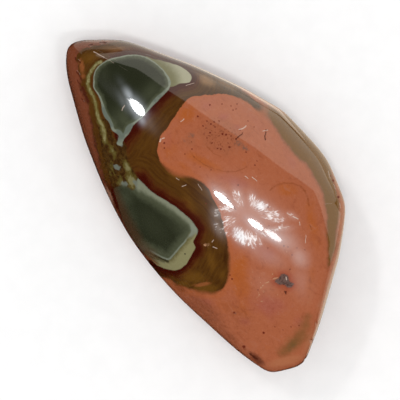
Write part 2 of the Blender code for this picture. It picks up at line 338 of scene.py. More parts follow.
# Middles of small dark pits and dots in the photograph's pixels, by their half width in pixels
DARK_DOTS = {
    0.5: (
        (200, 167), (257, 161), (207, 280), (305, 250), (194, 157), (228, 143), (248, 121), (258, 290),
        (283, 330), (275, 327), (297, 248), (268, 248), (254, 127), (206, 203.5),
    ),
    0.6: (
        (185, 154), (264, 214), (269, 226), (271, 231), (288, 247), (133, 220), (206, 128), (204, 134),
        (219, 121), (237, 104), (233, 110), (291, 327), (299, 325.5), (222, 104), (231, 106), (236, 109),
        (211, 170),
    ),
    0.7: (
        (240, 130), (214, 122), (207, 138), (246, 152), (255, 165), (258, 209), (262, 203), (292, 255),
        (185, 254), (230, 275), (207, 121), (215, 127), (231, 136), (212, 143), (290, 269.5),
    ),
    0.8: (
        (164.3, 148), (217.5, 148.5), (203, 126), (268, 207), (284, 246), (238, 185), (330.5, 176),
        (266, 130), (210, 105), (192, 149),
    ),
    0.9: ((220.8, 149), (236, 139), (211, 124), (232, 279)),
    1.0: ((164.3, 143), (197.8, 116.4), (210, 132.6), (229.4, 147), (130, 97), (286, 292), (234, 312.7)),
    1.1: ((222.5, 134), (226, 134.6), (333.5, 180.5)),
    1.2: ((263.6, 332.8),),
    1.3: ((338.5, 197),),
    1.4: ((244, 346.8),),
}

# Scratches, scuffs and lines: two ends in the photograph's pixels and a half width in pixels
# A few pale strokes are painted glints, on the chips of the left edge and on the inclusion
PALE_STROKES_AND_GLINTS = (
    (93.5, 51.3, 104, 57.2, 0.35), (104, 57.2, 114, 63, 0.05), (96, 49, 104, 53, -0.1),
    (108, 55.5, 118, 61, -0.1), (78, 59, 80, 60.5, 0), (76.5, 70, 78, 71.5, 0), (79, 72.5, 80, 74.5, 0),
    (83, 100, 84, 100.7, 0), (286, 277, 286.6, 279.6, 0.4), (119, 65.5, 128, 71, -0.15),
    (181, 121.5, 184, 119, 0.4), (239, 129.5, 243, 128.5, 0.5), (243, 128.5, 246, 126, 0.5),
    (198, 184, 202, 190, 0.15), (182, 186.5, 186, 185, 0.25), (176, 178, 179, 180, 0.2),
    (122, 110.5, 123, 107.5, 0.3), (123, 107.5, 124.5, 105.5, 0.4), (160, 141.5, 161, 139, 0.6),
    (162.5, 138.5, 164, 138, 0.5), (306, 235, 305.5, 243, 0.2), (213, 247, 217, 248.5, 0.3),
    (212, 242, 213.5, 240, 0.3), (287, 213, 291, 215.5, 0.4), (293, 216.5, 298, 219, 0.45),
    (299.5, 222, 300, 225, 0.3), (186, 85.5, 194, 83, 0.2), (215, 210, 231, 206, 0.2),
    (263, 131, 268, 130, 0.3), (269, 230.5, 289, 226.5, 0.2), (245, 176, 248, 178.5, 0.3),
    (252, 177, 257, 181, 0.3), (325, 204, 332, 203.5, 0), (328.5, 171, 330.5, 178, 0.3),
    (340, 203, 340.5, 208, 0.2), (334, 184, 335.5, 189, 0.2),
)
DARK_STROKES = (
    (266, 132, 265, 136, 0.35), (265, 136, 265.5, 140, 0.4), (236, 139, 243, 133, 0.35),
    (309.5, 224.5, 311, 227, 0), (311, 227.5, 312, 230, -0.05), (226, 197, 236, 210, 0.2),
    (285, 291.5, 286, 294, 0.5), (78.5, 60.5, 80.5, 63, 0.5), (75, 57, 76, 60, 0.4), (76.5, 71.5, 79, 75, 0.6),
    (79.5, 76, 81.5, 80, 0.4), (77, 80, 80, 85, 0.3), (82, 87, 85, 93, 1), (84, 93, 88, 101, 1.1),
    (81, 98, 83, 101, 0.4), (88, 44.5, 92, 43.5, 0.5), (99, 41.5, 106, 41.5, 0.5), (250, 354, 257, 359.5, 0.8),
)
WEDGE_STROKES = (
    (150, 259.5, 160, 264.5, -0.1), (151, 257, 164, 262.4, 0.5), (146, 252, 154, 255.8, 0.3),
    (154, 255.8, 168, 261.8, 0.9),
)
LAYER_STROKES = (
    (145, 251, 152, 258.5, 0.1), (152, 258.5, 160, 264, 0.3), (148, 253.5, 157, 260, 0.1),
    (157, 260, 166, 263.5, 0.2),
)
RING_STROKES = (
    (190, 151, 195, 158, 0.3), (195, 158, 203, 164, 0.35), (203, 164, 213, 168.5, 0.3),
    (213, 168.5, 224, 171.5, 0.25), (224, 171.5, 236, 171.5, 0.25), (236, 171.5, 247, 167, 0.2),
    (270, 190, 275, 186, 0.5), (275, 186, 284, 183, 0.5), (284, 183, 293, 183.5, 0.5),
    (293, 183.5, 300, 186, 0.5), (300, 186, 305, 191, 0.7), (305, 191, 307.5, 197, 0.7),
    (307.5, 197, 309, 205, 0.6), (207, 146, 213, 153, 0.2), (213, 153, 222, 157, 0.2),
    (146, 256.5, 158, 264.5, 0.4),
)

# Middle of the star of scuffs and painted flare streaks, in the photograph's pixels
STAR_MIDDLE = (246, 214)

# Heights in millimetres between which the small marks fade out towards the base
MARKS_FADE = (7.0, 11.0)

# Lamps: the two ends and the width of their glints in pixels, and their radiance, and how far they all hang
# from the stone
LAMPS = {
    "nose": ((129.5, 98.5), (144, 116.5), 9.8, 28.0),
    "middle": ((215, 190.5), (233, 207.5), 6.6, 30.0),
    "foot": ((247.5, 219), (264, 231), 6.4, 32.0),
    "last": ((265.5, 231), (280.5, 240.5), 6.4, 12.0),
}
LAMP_AWAY = 1.2

# Cards that show only as reflections: a place, a tilt, two sizes, a radiance, a shape and a tint. A program
# fitted the first one's place, tilt and sizes to points along the light veil's edge in the photograph
CARDS = {
    "card": ((-0.816, 0.6, 0.211), -0.338, (2.11, 1.148), 1.1, "ELLIPSE", (1.0, 0.96, 0.85)),
    "strip": ((0.410, 0.6, 0.024), 0.40, (0.425, 0.425), 1.1, "RECTANGLE", (1.0, 0.92, 0.78)),
    "sheen": ((-0.902, 0.6, -1.842), -0.22, (1.08, 3.0), 0.85, "RECTANGLE", (1.0, 0.91, 0.80)),
    "nose_sheen": ((-2.92, 0.6, -1.99), -0.22, (2.8, 3.8), 0.5, "RECTANGLE", (1.0, 0.91, 0.80)),
    "foot_sheen": ((0.457, 0.6, -4.549), 0.0, (2.6, 9.0), 0.68, "ELLIPSE", (1.0, 0.80, 0.60)),
}

# The even surround, the brightness of what it lights, and the floor's half width and drop below the stone
SURROUND = 0.84
BRIGHTNESS = 1.42
FLOOR_HALF = 3.0
FLOOR_DROP = 0.0002

# Further than any dot or stroke, in millimetres
FAR = 9.0

# Chips along the edges: a middle and a half width in the photograph's pixels, and a depth in metres. There
# are none below a height, from which they deepen over the next stretch, and two sines of the place, in
# radians a metre, ripple them
CHIPS = (
    (331.5, 177, 3.0, 0.00030), (334, 184, 2.4, 0.00022), (338, 194, 3.2, 0.00028), (340, 205, 2.0, 0.00018),
    (79, 60, 2.2, 0.00030), (80, 66, 1.6, 0.00024), (79, 74, 2.6, 0.00032), (82, 84, 1.8, 0.00022),
    (84, 94, 2.4, 0.00026), (86, 101, 1.6, 0.00020), (91, 44.5, 2.2, 0.00010), (102, 41.5, 2.2, 0.00010),
    (250, 354, 2.6, 0.00030), (257, 359.5, 2.8, 0.00030), (311.5, 341.5, 2.2, 0.00030),
    (317, 324, 1.8, 0.00022), (306, 361, 2.0, 0.00022), (262, 364, 2.4, 0.00022), (87, 131, 2.0, 0.00018),
    (66, 69, 1.6, 0.00020),
)
CHIP_FLOOR = 0.0090
CHIPS_FADE = 0.0020
RIPPLE = 0.25
RIPPLE_WAYS = ((5200.0, 0.0, 3100.0), (0.0, 4700.0, -2300.0))

# Slow waves that hand polishing leaves in the skin: a wavelength and a height in metres, and a way they run.
# They grow from the base up, and are full at a height above it
WAVES = (
    (0.0150, 0.000018, (0.9, 0.3, 0.1)),
    (0.0097, 0.000011, (-0.4, 0.9, 0.2)),
    (0.0061, 0.000005, (0.5, -0.6, 0.6)),
)
WAVES_FROM_BASE = 0.0030

# Below the girdle the markings are read from a place turned about the stone's middle and shifted
UNDER_TURN = math.radians(155.0)
UNDER_SHIFT = (0.006, -0.005)
UNDER_FROM = 0.0120
UNDER_OVER = 0.0100


def closed_spline(points, samples):
    """Even samples of the closed cubic spline through the points, with chord length as its parameter."""
    knots = np.array(points, float)
    following = np.roll(knots, -1, axis=0)
    chord = np.linalg.norm(following - knots, axis=1)
    before = np.roll(chord, 1)
    size = len(knots)
    row = np.arange(size)
    system = np.zeros((size, size))
    system[row, row] = 2.0 * (before + chord)
    system[row, (row - 1) % size] = before
    system[row, (row + 1) % size] = chord
    step = (following - knots) / chord[:, None]
    bend = np.linalg.solve(system, 6.0 * (step - np.roll(step, 1, axis=0)))
    ends = np.concatenate([[0.0], np.cumsum(chord)])
    place = np.linspace(0.0, ends[-1], samples, endpoint=False)
    span = np.clip(np.searchsorted(ends, place, side="right") - 1, 0, size - 1)
    width = chord[span][:, None]
    past = (place - ends[span])[:, None]
    left = width - past
    here, there = bend[span], bend[(span + 1) % size]
    curve = (here * left**3 + there * past**3) / (6.0 * width)
    curve += (knots[span] / width - here * width / 6.0) * left
    return curve + (following[span] / width - there * width / 6.0) * past


def drawn_in(curve, depth, rounding):
    """Radius at even angles of the outline drawn in by a depth, or by one depth for each way it faces: the
    nearest of all the lines that touch the outline, each moved in by its depth, with the corners rounded by
    an average over the rounding angle."""
    angle = math.tau * np.arange(DIRECTIONS) / DIRECTIONS
    touching = np.stack([np.cos(angle), np.sin(angle)])
    support = (curve @ touching).max(axis=0)
    facing = touching.T @ touching
    bounds = (support - depth)[:, None] / np.maximum(facing, GRAZING)
    reach = np.where(facing > GRAZING, bounds, 1.0).min(axis=0)
    wave = np.arange(DIRECTIONS // 2 + 1)
    return np.fft.irfft(np.fft.rfft(reach) * np.exp(-((wave * rounding) ** 2) / 2.0), DIRECTIONS)


def outline_tables():
    """Radius of the girdle, of the rim above it and of the base below it, and how squarely a ray meets the
    girdle, all at even angles round the origin."""
    curve = closed_spline(GIRDLE, 4 * DIRECTIONS)
    curve -= (curve.max(axis=0) + curve.min(axis=0)) / 2.0
    facing = math.tau * np.arange(DIRECTIONS) / DIRECTIONS
    girdle = drawn_in(curve, 0.0, GIRDLE_ROUNDING)
    rim = drawn_in(curve, RIM_INSET - RIM_TURN * np.sin(facing), RIM_ROUNDING)
    base = drawn_in(curve, BASE_INSET, BASE_ROUNDING)
    turn = (np.roll(girdle, -1) - np.roll(girdle, 1)) * DIRECTIONS / (2.0 * math.tau) / girdle
    return girdle, rim, base, 1.0 / np.sqrt(1.0 + turn * turn)


def look_up(table, angle):
    """Values of a table of even angles at any angles."""
    even = math.tau * np.arange(DIRECTIONS) / DIRECTIONS
    return np.interp(angle, even, table, period=math.tau)


def soft_max(first, second, width):
    """The larger of two fields, rounded where they are within the width of each other."""
    near = np.maximum(width - np.abs(first - second), 0.0) / width
    return np.maximum(first, second) + near * near * width / 4.0


def smooth_step(value):
    """Zero below 0, one above 1, and a smooth S between."""
    part = np.clip(value, 0.0, 1.0)
    return part * part * (3.0 - 2.0 * part)


def wall_field(x, y, z, tables):
    """Distance outside the side wall, whose outline goes from the base's to the girdle's, and from there
    towards the rim's, as the height grows."""
    angle = np.arctan2(y, x)
    girdle, rim, base, square = (look_up(table, angle) for table in tables)
    middle = GIRDLE_HEIGHT + GIRDLE_RISE * np.sin(angle)
    above = np.maximum(z - middle, 0.0) / RIM_ABOVE
    below = np.maximum(middle - z, 0.0) / middle
    reach = girdle + (rim - girdle) * above**RIM_CURVE + (base - girdle) * below**BASE_CURVE
    lean = (girdle - rim) * square / RIM_ABOVE * RIM_CURVE * above ** (RIM_CURVE - 1.0)
    lean += BASE_INSET / GIRDLE_HEIGHT * BASE_CURVE * below ** (BASE_CURVE - 1.0)
    return (np.hypot(x, y) - reach) * square / np.sqrt(1.0 + lean * lean)


def crown_height(x, y):
    """Height of the crown's surface, and its slopes along and across the stone."""
    along = (x - CROWN_TOP_X) / CROWN_LENGTH
    across = (y - CREST_Y + CREST_BEND * (x - CREST_X) ** 2) / HALF_WIDTH
    arch = np.sqrt(1.0 + along * along)
    top = HEIGHT - CROWN_FALL * (arch - 1.0) - ROUND_FALL * across**2 - SHOULDER_FALL * across**4
    slope_along = CROWN_FALL / CROWN_LENGTH * along / arch
    slope_across = (2.0 * ROUND_FALL * across + 4.0 * SHOULDER_FALL * across**3) / HALF_WIDTH
    return top, slope_along, slope_across


def crown_field(x, y, z):
    """Distance outside the crown."""
    top, slope_along, slope_across = crown_height(x, y)
    return (z - top) / np.sqrt(1.0 + slope_along**2 + slope_across**2)


def face_field(x, y, z, point, normal):
    """Distance outside a flat ground face through a point."""
    square = np.array(normal) / np.linalg.norm(normal)
    return (np.stack([x, y, z], axis=-1) - point) @ square


def stone_field(x, y, z, tables):
    """Below zero inside the stone, zero on its skin and above zero outside."""
    crisp = smooth_step((x - RIM_TURNS_AT) / RIM_TURNS_OVER)
    rim = RIM_SOFT + (RIM_CRISP - RIM_SOFT) * crisp
    body = soft_max(wall_field(x, y, z, tables), crown_field(x, y, z), rim)
    body = soft_max(body, face_field(x, y, z, NOSE_FACE_POINT, NOSE_FACE_NORMAL), NOSE_FACE_EDGE)
    body = soft_max(body, face_field(x, y, z, FOOT_FACE_POINT, FOOT_FACE_NORMAL), FOOT_FACE_EDGE)
    return soft_max(body, -z, BASE_EDGE)


def skin_points(tables):
    """The skin as a function of two parameters, a ring along the stone and a spoke round it: the ray from
    the heart in the direction (-cos ring, sin ring cos spoke, sin ring sin spoke), squeezed to the stone's
    proportions, is followed to where the stone's field is zero, which is found by halving. The first point
    is the nose's pole and the last one the foot's."""
    along = math.pi * np.arange(1, RINGS) / RINGS
    even = math.tau * np.arange(SPOKES) / SPOKES
    ring, spoke = np.meshgrid(along, even + CROWN_SHARE * np.cos(even), indexing="ij")
    rays = np.stack(
        [-np.cos(ring), np.sin(ring) * np.cos(spoke), np.sin(ring) * np.sin(spoke)], axis=-1
    ).reshape(-1, 3)
    rays = np.concatenate([[(-1.0, 0.0, 0.0)], rays, [(1.0, 0.0, 0.0)]]) * PROPORTIONS
    near = np.zeros(len(rays))
    far = np.full(len(rays), RAYS_END)
    for _ in range(HALVINGS):
        middle = (near + far) / 2.0
        outside = stone_field(*(np.array(HEART) + rays * middle[:, None]).T, tables) > 0.0
        far = np.where(outside, middle, far)
        near = np.where(outside, near, middle)
    points = (np.array(HEART) + rays * near[:, None]) * DRAWN_IN
    points[np.abs(points[:, 2]) < NO_HEIGHT, 2] = 0.0
    return worn(points, rays)


def worn(points, rays):
    """The skin moved along its rays by slow waves, each one height * sin(turns of the place along the wave's
    way), and inwards by the chips, each one depth * (1 - (distance / half width) ^ 2) ^ 1.5 with a rippled
    distance. The base stays flat."""
    depth = np.zeros(len(points))
    for length, height, way in WAVES:
        turns = points @ (np.array(way) / np.linalg.norm(way)) / length
        depth += height * (1.0 - np.sin(math.tau * turns)) * smooth_step(points[:, 2] / WAVES_FROM_BASE)
    x, y, z = points.T
    deepened = smooth_step((z - CHIP_FLOOR) / CHIPS_FADE)
    ripple = 1.0 + RIPPLE * np.sin(points @ np.transpose(RIPPLE_WAYS)).prod(axis=1)
    for px, py, radius, deep in CHIPS:
        middle = on_stone([(px, py)])[0]
        reach = np.hypot(x - middle[0], y - middle[1]) * ripple / (radius * PIXEL)
        depth += deep * np.maximum(1.0 - reach * reach, 0.0) ** 1.5 * deepened
    way = rays / np.linalg.norm(rays, axis=1)[:, None]
    return points - way * depth[:, None]


def skin_faces():
    """Fans at the two poles and bands of four-cornered faces between them, as corner and size arrays."""
    spoke = np.arange(SPOKES)
    after = (spoke + 1) % SPOKES
    start = 1 + SPOKES * np.arange(RINGS - 2)[:, None]
    bands = np.stack([start + spoke, start + after, start + SPOKES + after, start + SPOKES + spoke], axis=-1)
    last = 1 + (RINGS - 1) * SPOKES
    nose = np.stack([np.zeros_like(spoke), 1 + after, 1 + spoke], axis=-1)
    foot = np.stack([np.full_like(spoke, last), last - SPOKES + spoke, last - SPOKES + after], axis=-1)
    corners = np.concatenate([nose.ravel(), foot.ravel(), bands.ravel()])
    sizes = np.concatenate([np.full(2 * SPOKES, 3), np.full((RINGS - 2) * SPOKES, 4)])
    return corners, sizes


def on_stone(pixels):
    """Places in the stone's plan of points given in the photograph's pixels: each pixel's ray from the lens
    is followed down to the crown in rounds, each one starting at the last one's height."""
    offset = (np.array(pixels, float) - PHOTO_MIDDLE) * (PIXEL, -PIXEL)
    way = np.array(LENGTH_WAY)
    flat = np.stack([offset @ way, offset @ (-way[1], way[0])], axis=-1)
    place = flat + (LENS_X, LENS_Y)
    for _ in range(ROUNDS_TO_CROWN):
        height = np.maximum(crown_height(*place.T)[0], GIRDLE_HEIGHT)
        shrink = (LENS_ABOVE_GIRDLE + GIRDLE_HEIGHT - height) / LENS_ABOVE_GIRDLE
        place = flat * shrink[..., None] + (LENS_X, LENS_Y)
    return place


def distance_to_path(places, path, closed):
    """Distance from each place to the nearest point of a path, and whether a closed path holds the place."""
    ends = np.roll(path, -1, axis=0) if closed else path[1:]
    nearest = np.full(len(places), np.inf)
    inside = np.zeros(len(places), bool)
    x, y = places.T
    for (ax, ay), (bx, by) in zip(path, ends):
        dx, dy = bx - ax, by - ay
        part = np.clip(((x - ax) * dx + (y - ay) * dy) / (dx * dx + dy * dy), 0.0, 1.0)
        nearest = np.minimum(nearest, (x - ax - part * dx) ** 2 + (y - ay - part * dy) ** 2)
        if closed and dy != 0.0:
            inside ^= ((ay > y) != (by > y)) & (x < ax + (y - ay) * dx / dy)
    return np.sqrt(nearest), inside


def outline_distance(places, pixels):
    """Distance outside a closed outline, below zero within it, in millimetres."""
    path = closed_spline(on_stone(pixels), 5 * len(pixels))
    far, inside = distance_to_path(places, path, True)
    return np.where(inside, -far, far) * MM


def patch_cover(places, patches):
    """How strongly soft patches cover places in the stone's plan, from 0 at their edges upwards."""
    cover = np.zeros(len(places))
    for x, y, long_half, short_half, turn, strength in patches:
        angle = math.radians(turn)
        ways = np.array([(math.cos(angle), math.sin(angle)), (-math.sin(angle), math.cos(angle))])
        middle, *tips = on_stone([(x, y), (x, y) + ways[0] * long_half, (x, y) + ways[1] * short_half])
        axes = np.linalg.inv(np.stack([tips[0] - middle, tips[1] - middle]))
        reach = (((places - middle) @ axes) ** 2).sum(axis=1)
        cover = np.maximum(cover, strength * np.exp(-PATCH_FALL * reach))
    return cover


def marking_fields(places):
    """For each marking, the distance in millimetres outside it at places in the stone's plan, and for each
    kind of soft patch its cover."""
    fields = {name: outline_distance(places, outline) for name, outline in OUTLINES.items()}
    fields.update({name: patch_cover(places, spots) for name, spots in PATCHES.items()})
    fields["crescent"] = distance_to_path(places, on_stone(CRESCENT), False)[0] * MM
    return fields


def turned(places):
    """Where the markings below the girdle are read from."""
    cosine, sine = math.cos(UNDER_TURN), math.sin(UNDER_TURN)
    x, y = places.T
    return np.stack([x * cosine - y * sine, x * sine + y * cosine], axis=-1) + UNDER_SHIFT


def make_stone():
    """The stone's skin, with the markings' distances kept as point attributes."""
    points = skin_points(outline_tables())
    corners, sizes = skin_faces()
    mesh = bpy.data.meshes.new("polished_stone")
    mesh.vertices.add(len(points))
    mesh.vertices.foreach_set("co", points.astype(np.float32).ravel())
    mesh.loops.add(len(corners))
    mesh.loops.foreach_set("vertex_index", corners.astype(np.int32))
    mesh.polygons.add(len(sizes))
    starts = np.concatenate([[0], np.cumsum(sizes)[:-1]])
    mesh.polygons.foreach_set("loop_start", starts.astype(np.int32))
    mesh.update(calc_edges=True)
    mesh.validate()
    mesh.shade_smooth()
    places = points[:, :2]
    over = marking_fields(places)
    under = marking_fields(turned(places))
    below = smooth_step((UNDER_FROM - points[:, 2]) / UNDER_OVER)
    for name, field in over.items():
        attribute = mesh.attributes.new(name, "FLOAT", "POINT")
        blended = field * (1.0 - below) + under[name] * below
        attribute.data.foreach_set("value", blended.astype(np.float32))
    return add("polished_stone", mesh)


def maths(operation, flipped=False):
    """A method that feeds a value and others to a Math node, the value last when flipped."""

    def method(self, *others):
        terms = (*others, self) if flipped else (self, *others)
        node = self.maker.node("ShaderNodeMath", {"operation": operation}, dict(enumerate(terms)))
        return Value(self.maker, node.outputs[0])

    return method


class Value:
    """A number that varies over the surface. Arithmetic on it adds Math nodes to its material."""

    def __init__(self, maker, socket):
        self.maker = maker
        self.socket = socket

    __add__ = __radd__ = maths("ADD")
    __mul__ = __rmul__ = maths("MULTIPLY")
    __sub__ = maths("SUBTRACT")
    __rsub__ = maths("SUBTRACT", flipped=True)
    __truediv__ = maths("DIVIDE")
    least = maths("MINIMUM")
    most = maths("MAXIMUM")
    size = maths("ABSOLUTE")

    def ramp(self, start, end):
        """Zero at start and one at end, smooth between; start may be above end."""
        ends = {1: min(start, end), 2: max(start, end), 3: float(start > end), 4: float(start < end)}
        node = self.maker.node("ShaderNodeMapRange", {"interpolation_type": "SMOOTHSTEP"}, {0: self, **ends})
        return Value(self.maker, node.outputs[0])


class Finish:
    """Builds one material's nodes."""

    def __init__(self, name):
        self.material = bpy.data.materials.new(name)
        self.material.use_nodes = True
        self.tree = self.material.node_tree
        self.shader = self.tree.nodes["Principled BSDF"]
        spot = self.node("ShaderNodeTexCoord").outputs["Object"]
        self.millimetres = self.vector("SCALE", spot, Scale=MM)

    def node(self, kind, settings=None, inputs=None):
        """A node of a type, with its settings and then the values or links of its sockets."""
        node = self.tree.nodes.new(kind)
        for name, value in (settings or {}).items():
            setattr(node, name, value)
        for key, value in (inputs or {}).items():
            self.feed(node.inputs[key], value)
        return node

    def feed(self, socket, value):
        """Link a value or a socket to a socket, or set the socket to a number or a colour."""
        if isinstance(value, Value):
            value = value.socket
        if isinstance(value, bpy.types.NodeSocket):
            self.tree.links.new(value, socket)
        elif hasattr(value, "__len__") and socket.type == "RGBA":
            socket.default_value = (*value[:3], 1.0)
        else:
            socket.default_value = value

    def feed_shader(self, **values):
        """Feed the shader's sockets, each one named with lines for its spaces."""
        for name, value in values.items():
            self.feed(self.shader.inputs[name.replace("_", " ")], value)

    def vector(self, operation, *terms, **named):
        """The vector that a Vector Math node gives."""
        inputs = {**dict(enumerate(terms)), **named}
        return self.node("ShaderNodeVectorMath", {"operation": operation}, inputs).outputs["Vector"]

    def measure(self, operation, *terms):
        """The number that a Vector Math node gives."""
        node = self.node("ShaderNodeVectorMath", {"operation": operation}, dict(enumerate(terms)))
        return Value(self, node.outputs["Value"])

    def __getitem__(self, name):
        """A marking's field, which the mesh keeps as a point attribute."""
        return Value(self, self.node("ShaderNodeAttribute", {"attribute_name": name}).outputs["Fac"])

    def shifted(self, offset, stretch=(1, 1, 1)):
        """The place in millimetres moved by an offset and then stretched."""
        return self.vector("MULTIPLY", self.vector("ADD", self.millimetres, offset), stretch)

    def noise(self, size, detail=2, roughness=0.5, at=(0, 0, 0), stretch=(1, 1, 1), bend=0):
        """Cloudy noise from about -1 to 1, with features of a size in millimetres."""
        inputs = {"Detail": detail, "Roughness": roughness, "Distortion": bend}
        return self.clouds(self.shifted(at, stretch), Scale=1.0 / size, **inputs)

    def clouds(self, place, spread=4.5, **inputs):
        """The noise at a place, less a half and times its spread, with a Noise Texture's other inputs."""
        node = self.node("ShaderNodeTexNoise", {}, {"Vector": place, **inputs})
        return (Value(self, node.outputs[0]) - 0.5) * spread

    def pits(self, spacing, share, radius, at=(0, 0, 0)):
        """Scattered small round marks, one where the cover is one: their usual spacing and their radius in
        millimetres, and the share of the places that hold one."""
        node = self.node("ShaderNodeTexVoronoi", {}, {"Vector": self.shifted(at), "Scale": 1.0 / spacing})
        chance = self.node("ShaderNodeSeparateColor", {}, {0: node.outputs["Color"]}).outputs
        held = Value(self, chance[0]).ramp(1.0 - share, 1.0 - share + 0.04)
        size = Value(self, chance[1]) * 0.6 + 0.4
        return (Value(self, node.outputs["Distance"]) * spacing / size).ramp(radius, radius * 0.4) * held

    def plan(self, wobble):
        """The place seen from above in millimetres, pushed about by noise over a distance."""
        inputs = {"Vector": self.millimetres, "Scale": 1.3, "Detail": 2.0}
        noise = self.node("ShaderNodeTexNoise", {}, inputs).outputs["Color"]
        push = self.vector("MULTIPLY_ADD", noise, (wobble, wobble, 0), (-wobble / 2.0, -wobble / 2.0, 0))
        return self.vector("MULTIPLY", self.vector("ADD", self.millimetres, push), (1, 1, 0))

    def near_dots(self, place, dots):
        """Distance in millimetres outside the nearest of some round dots."""
        nearest = FAR
        for radius, middles in dots.items():
            for middle in on_stone(middles) * MM:
                gap = self.measure("DISTANCE", place, (*middle, 0.0))
                nearest = (gap - radius * PIXEL * MM).least(nearest)
        return nearest

    def near_strokes(self, place, strokes):
        """Distance in millimetres outside the nearest of some straight strokes."""
        nearest = FAR
        for ax, ay, bx, by, half in strokes:
            start, end = on_stone([(ax, ay), (bx, by)]) * MM
            run = end - start
            apart = self.vector("SUBTRACT", place, (*start, 0.0))
            along = self.measure("DOT_PRODUCT", apart, (*(run / (run @ run)), 0.0))
            foot = self.vector("SCALE", (*run, 0.0), Scale=along.most(0.0).least(1.0))
            nearest = (self.measure("DISTANCE", apart, foot) - half * PIXEL * MM).least(nearest)
        return nearest

    def over(self, colour, *coats):
        """A colour with coats painted over it in turn, each one a colour and its cover."""
        for coat, cover in coats:
            inputs = {0: cover, 6: colour, 7: coat}
            node = self.node("ShaderNodeMix", {"data_type": "RGBA", "clamp_factor": True}, inputs)
            colour = node.outputs[2]
        return colour


def sight(red, green, blue):
    """The share of the light that a surface returns where the screen shows values from 0 to 255."""
    shares = (value / 255.0 for value in (red, green, blue))
    linear = (s / 12.92 if s <= 0.04045 else ((s + 0.055) / 1.055) ** 2.4 for s in shares)
    return tuple(value / BRIGHTNESS for value in linear)


def crown_normal(x, y):
    """Unit normal of the crown at a place in the plan, from differences of its height."""
    step = 0.0005
    slope_x = (crown_height(x + step, y)[0] - crown_height(x - step, y)[0]) / (2.0 * step)
    slope_y = (crown_height(x, y + step)[0] - crown_height(x, y - step)[0]) / (2.0 * step)
    return Vector((-float(slope_x), -float(slope_y), 1.0)).normalized()


# Colours of the body and its bands
ORANGE = sight(185, 104, 69)
SATURATED = sight(186, 98, 45)
PINK_BRICK = sight(177, 96, 76)
NODULE = sight(174, 102, 70)
OLIVE = sight(96, 60, 17)
OLIVE_BROWN = sight(78, 44, 11)
OCHRE_AND_VEIL = sight(116, 76, 22)
UMBER = sight(64, 30, 6)
TAN = sight(160, 118, 76)
MAROON = sight(70, 15, 4)
RED_BROWN = sight(94, 40, 16)
RIGHT_BAND_OLIVE = sight(121, 81, 20)
GREEN = sight(44, 47, 30)
GREEN_LIGHT = sight(85, 89, 67)
PALE = sight(142, 148, 130)
PALE_GREY = sight(112, 120, 108)
LOW_PALE = sight(140, 143, 120)
CREAM = sight(180, 176, 146)
CREAM_DARK = sight(122, 118, 80)
# Brick side colour, partly painted shade of the steep left side
BRICK_AND_SHADE = sight(134, 72, 46)
BRICK_DARK = sight(72, 34, 18)
INCLUSION_GREY = sight(114, 86, 77)
DOT_BROWN = sight(122, 48, 28)
SMUDGE_GREY = sight(132, 94, 78)
STROKE_AND_GLINT_PALE = sight(226, 200, 184)
# White of the scuffs, painted whiter as highlight flares and glare round the glints
SCUFF_AND_GLARE_WHITE = (0.86, 0.79, 0.77)
# Colour of the painted highlight halos round the glints
GLINT_HALO_WHITE = (0.74, 0.80, 0.86)


def body_colour(f, clouds):
    """Brick orange with more saturated and pinker clouds, a browner nodule with fine specks, grey smudges,
    pale dust, darker patches mostly along the lower-left edge, and pale edges that are partly painted light
    where the rims are lit."""
    saturated = f["saturated"] + clouds * 0.28 + f.noise(2.5, 3, at=(3, 8, 0)) * 0.12
    pink = f["pink"] + f.noise(6, 3, at=(0, 0, 40)) * 0.25
    grain = f.noise(1.2, 5, 0.7, at=(0, 12, 0))
    veins = f.noise(3.6, 4, 0.6, at=(4, 0, 50), stretch=(0.7, 1.2, 1), bend=1.2)
    fine = f.noise(0.42, 3, 0.8, at=(2, 6, 0))
    flow = f.noise(5, 3, 0.6, at=(11, 0, 0), stretch=(0.5, 1.6, 1), bend=0.8)
    nodule = f["nodule"] + f.noise(3, 3, at=(60, 0, 0)) * 0.15
    specks = f.noise(0.7, 3, 0.7, at=(0, 0, 21))
    fleck = f.noise(0.45, 2, 0.6, at=(0, 33, 21))
    grey = f["grey"] * (f.noise(0.9, 4, 0.75, at=(14, 0, 0)) * 0.7 + 0.5)
    dust = f.pits(1.3, 0.5, 0.24, at=(5, 9, 2)) + f.pits(2.4, 0.5, 0.36, at=(1, 4, 8))
    return f.over(
        ORANGE,
        (SATURATED, saturated.ramp(0.15, 1.05)),
        (PINK_BRICK, pink.ramp(0.1, 1.0)),
        (sight(142, 70, 42), grain.ramp(0.0, 1.5) * 0.5),
        (sight(206, 140, 108), grain.ramp(-0.1, -1.6) * 0.4),
        (sight(154, 78, 48), veins.ramp(0.1, 1.3) * 0.6),
        (sight(192, 126, 102), veins.ramp(-0.3, -1.4) * 0.45),
        (sight(206, 142, 114), fine.ramp(0.2, 1.2) * 0.22),
        (sight(140, 70, 44), fine.ramp(-0.2, -1.2) * 0.22),
        (sight(172, 84, 36), flow.ramp(0.5, 1.4) * 0.3),
        (NODULE, nodule.ramp(0.25, 0.6) * 0.6),
        (sight(124, 60, 36), specks.ramp(0.1, 0.8) * nodule.ramp(0.25, 0.8) * 0.75),
        (sight(188, 124, 96), specks.ramp(-0.5, -1.1) * nodule.ramp(0.25, 0.8) * 0.5),
        (sight(104, 44, 28), fleck.ramp(0.6, 1.0) * nodule.ramp(0.3, 0.8) * 0.85),
        (SMUDGE_GREY, grey.ramp(0.15, 0.7) * 0.85),
        (sight(214, 166, 128), dust * f["speckled"].ramp(0.1, 0.8) * 0.9),
        # Darker towards the lower-left edge
        (sight(104, 50, 30), (f["darker_patches"] + grain * 0.12).ramp(0.25, 0.9) * 0.8),
        # Partly painted light: paler rims where they are lit
        (sight(192, 122, 84), f["fair_and_lit_edges"].ramp(0.1, 0.9) * 0.6),
    )


